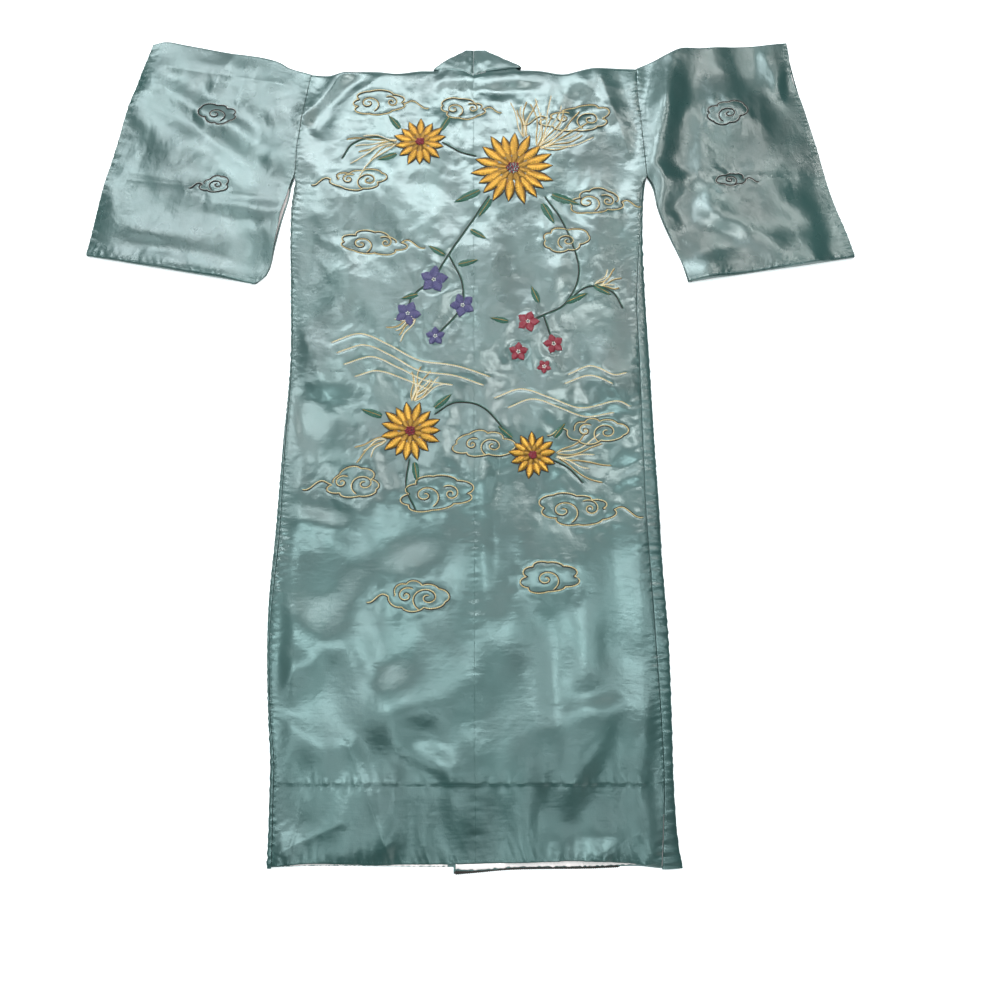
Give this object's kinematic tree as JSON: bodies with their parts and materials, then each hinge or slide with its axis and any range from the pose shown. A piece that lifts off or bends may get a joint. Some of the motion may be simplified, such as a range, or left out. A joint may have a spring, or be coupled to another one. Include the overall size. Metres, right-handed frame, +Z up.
{
  "type": "satin kimono robe",
  "caption": "Satin kimono robe laid flat with its back up: open drop sleeves, a collar band down both front edges and a tuck above the hem.",
  "frame": {"origin": "middle of the robe's footprint, on the floor it lies on", "axes": "+X to the wearer's right sleeve, +Y from the hem to the neck, +Z up from the floor"},
  "size_m": [1.2902, 1.3798, 0.0131],
  "materials": {
    "satin": "smooth aqua satin with a strong soft sheen",
    "lining": "plain pale pink lining with a faint sheen",
    "gold_thread": "gold embroidery thread and couched cord",
    "silver_thread": "silver and white embroidery thread",
    "green_thread": "dark green embroidery thread",
    "violet_thread": "violet blue embroidery thread",
    "red_thread": "dark red embroidery thread",
    "dark_thread": "brown black embroidery thread"
  },
  "bodies": {
    "root": {"back_left": "satin", "back_right": "satin", "front_left": "satin", "front_right": "satin", "sleeve_left": "satin", "sleeve_right": "satin", "collar_left": "satin", "collar_right": "satin", "hem_lining_left": "lining", "hem_lining_right": "lining", "cuff_lining_right": "lining", "underarm_lining_left": "lining"}
  },
  "joints": []
}
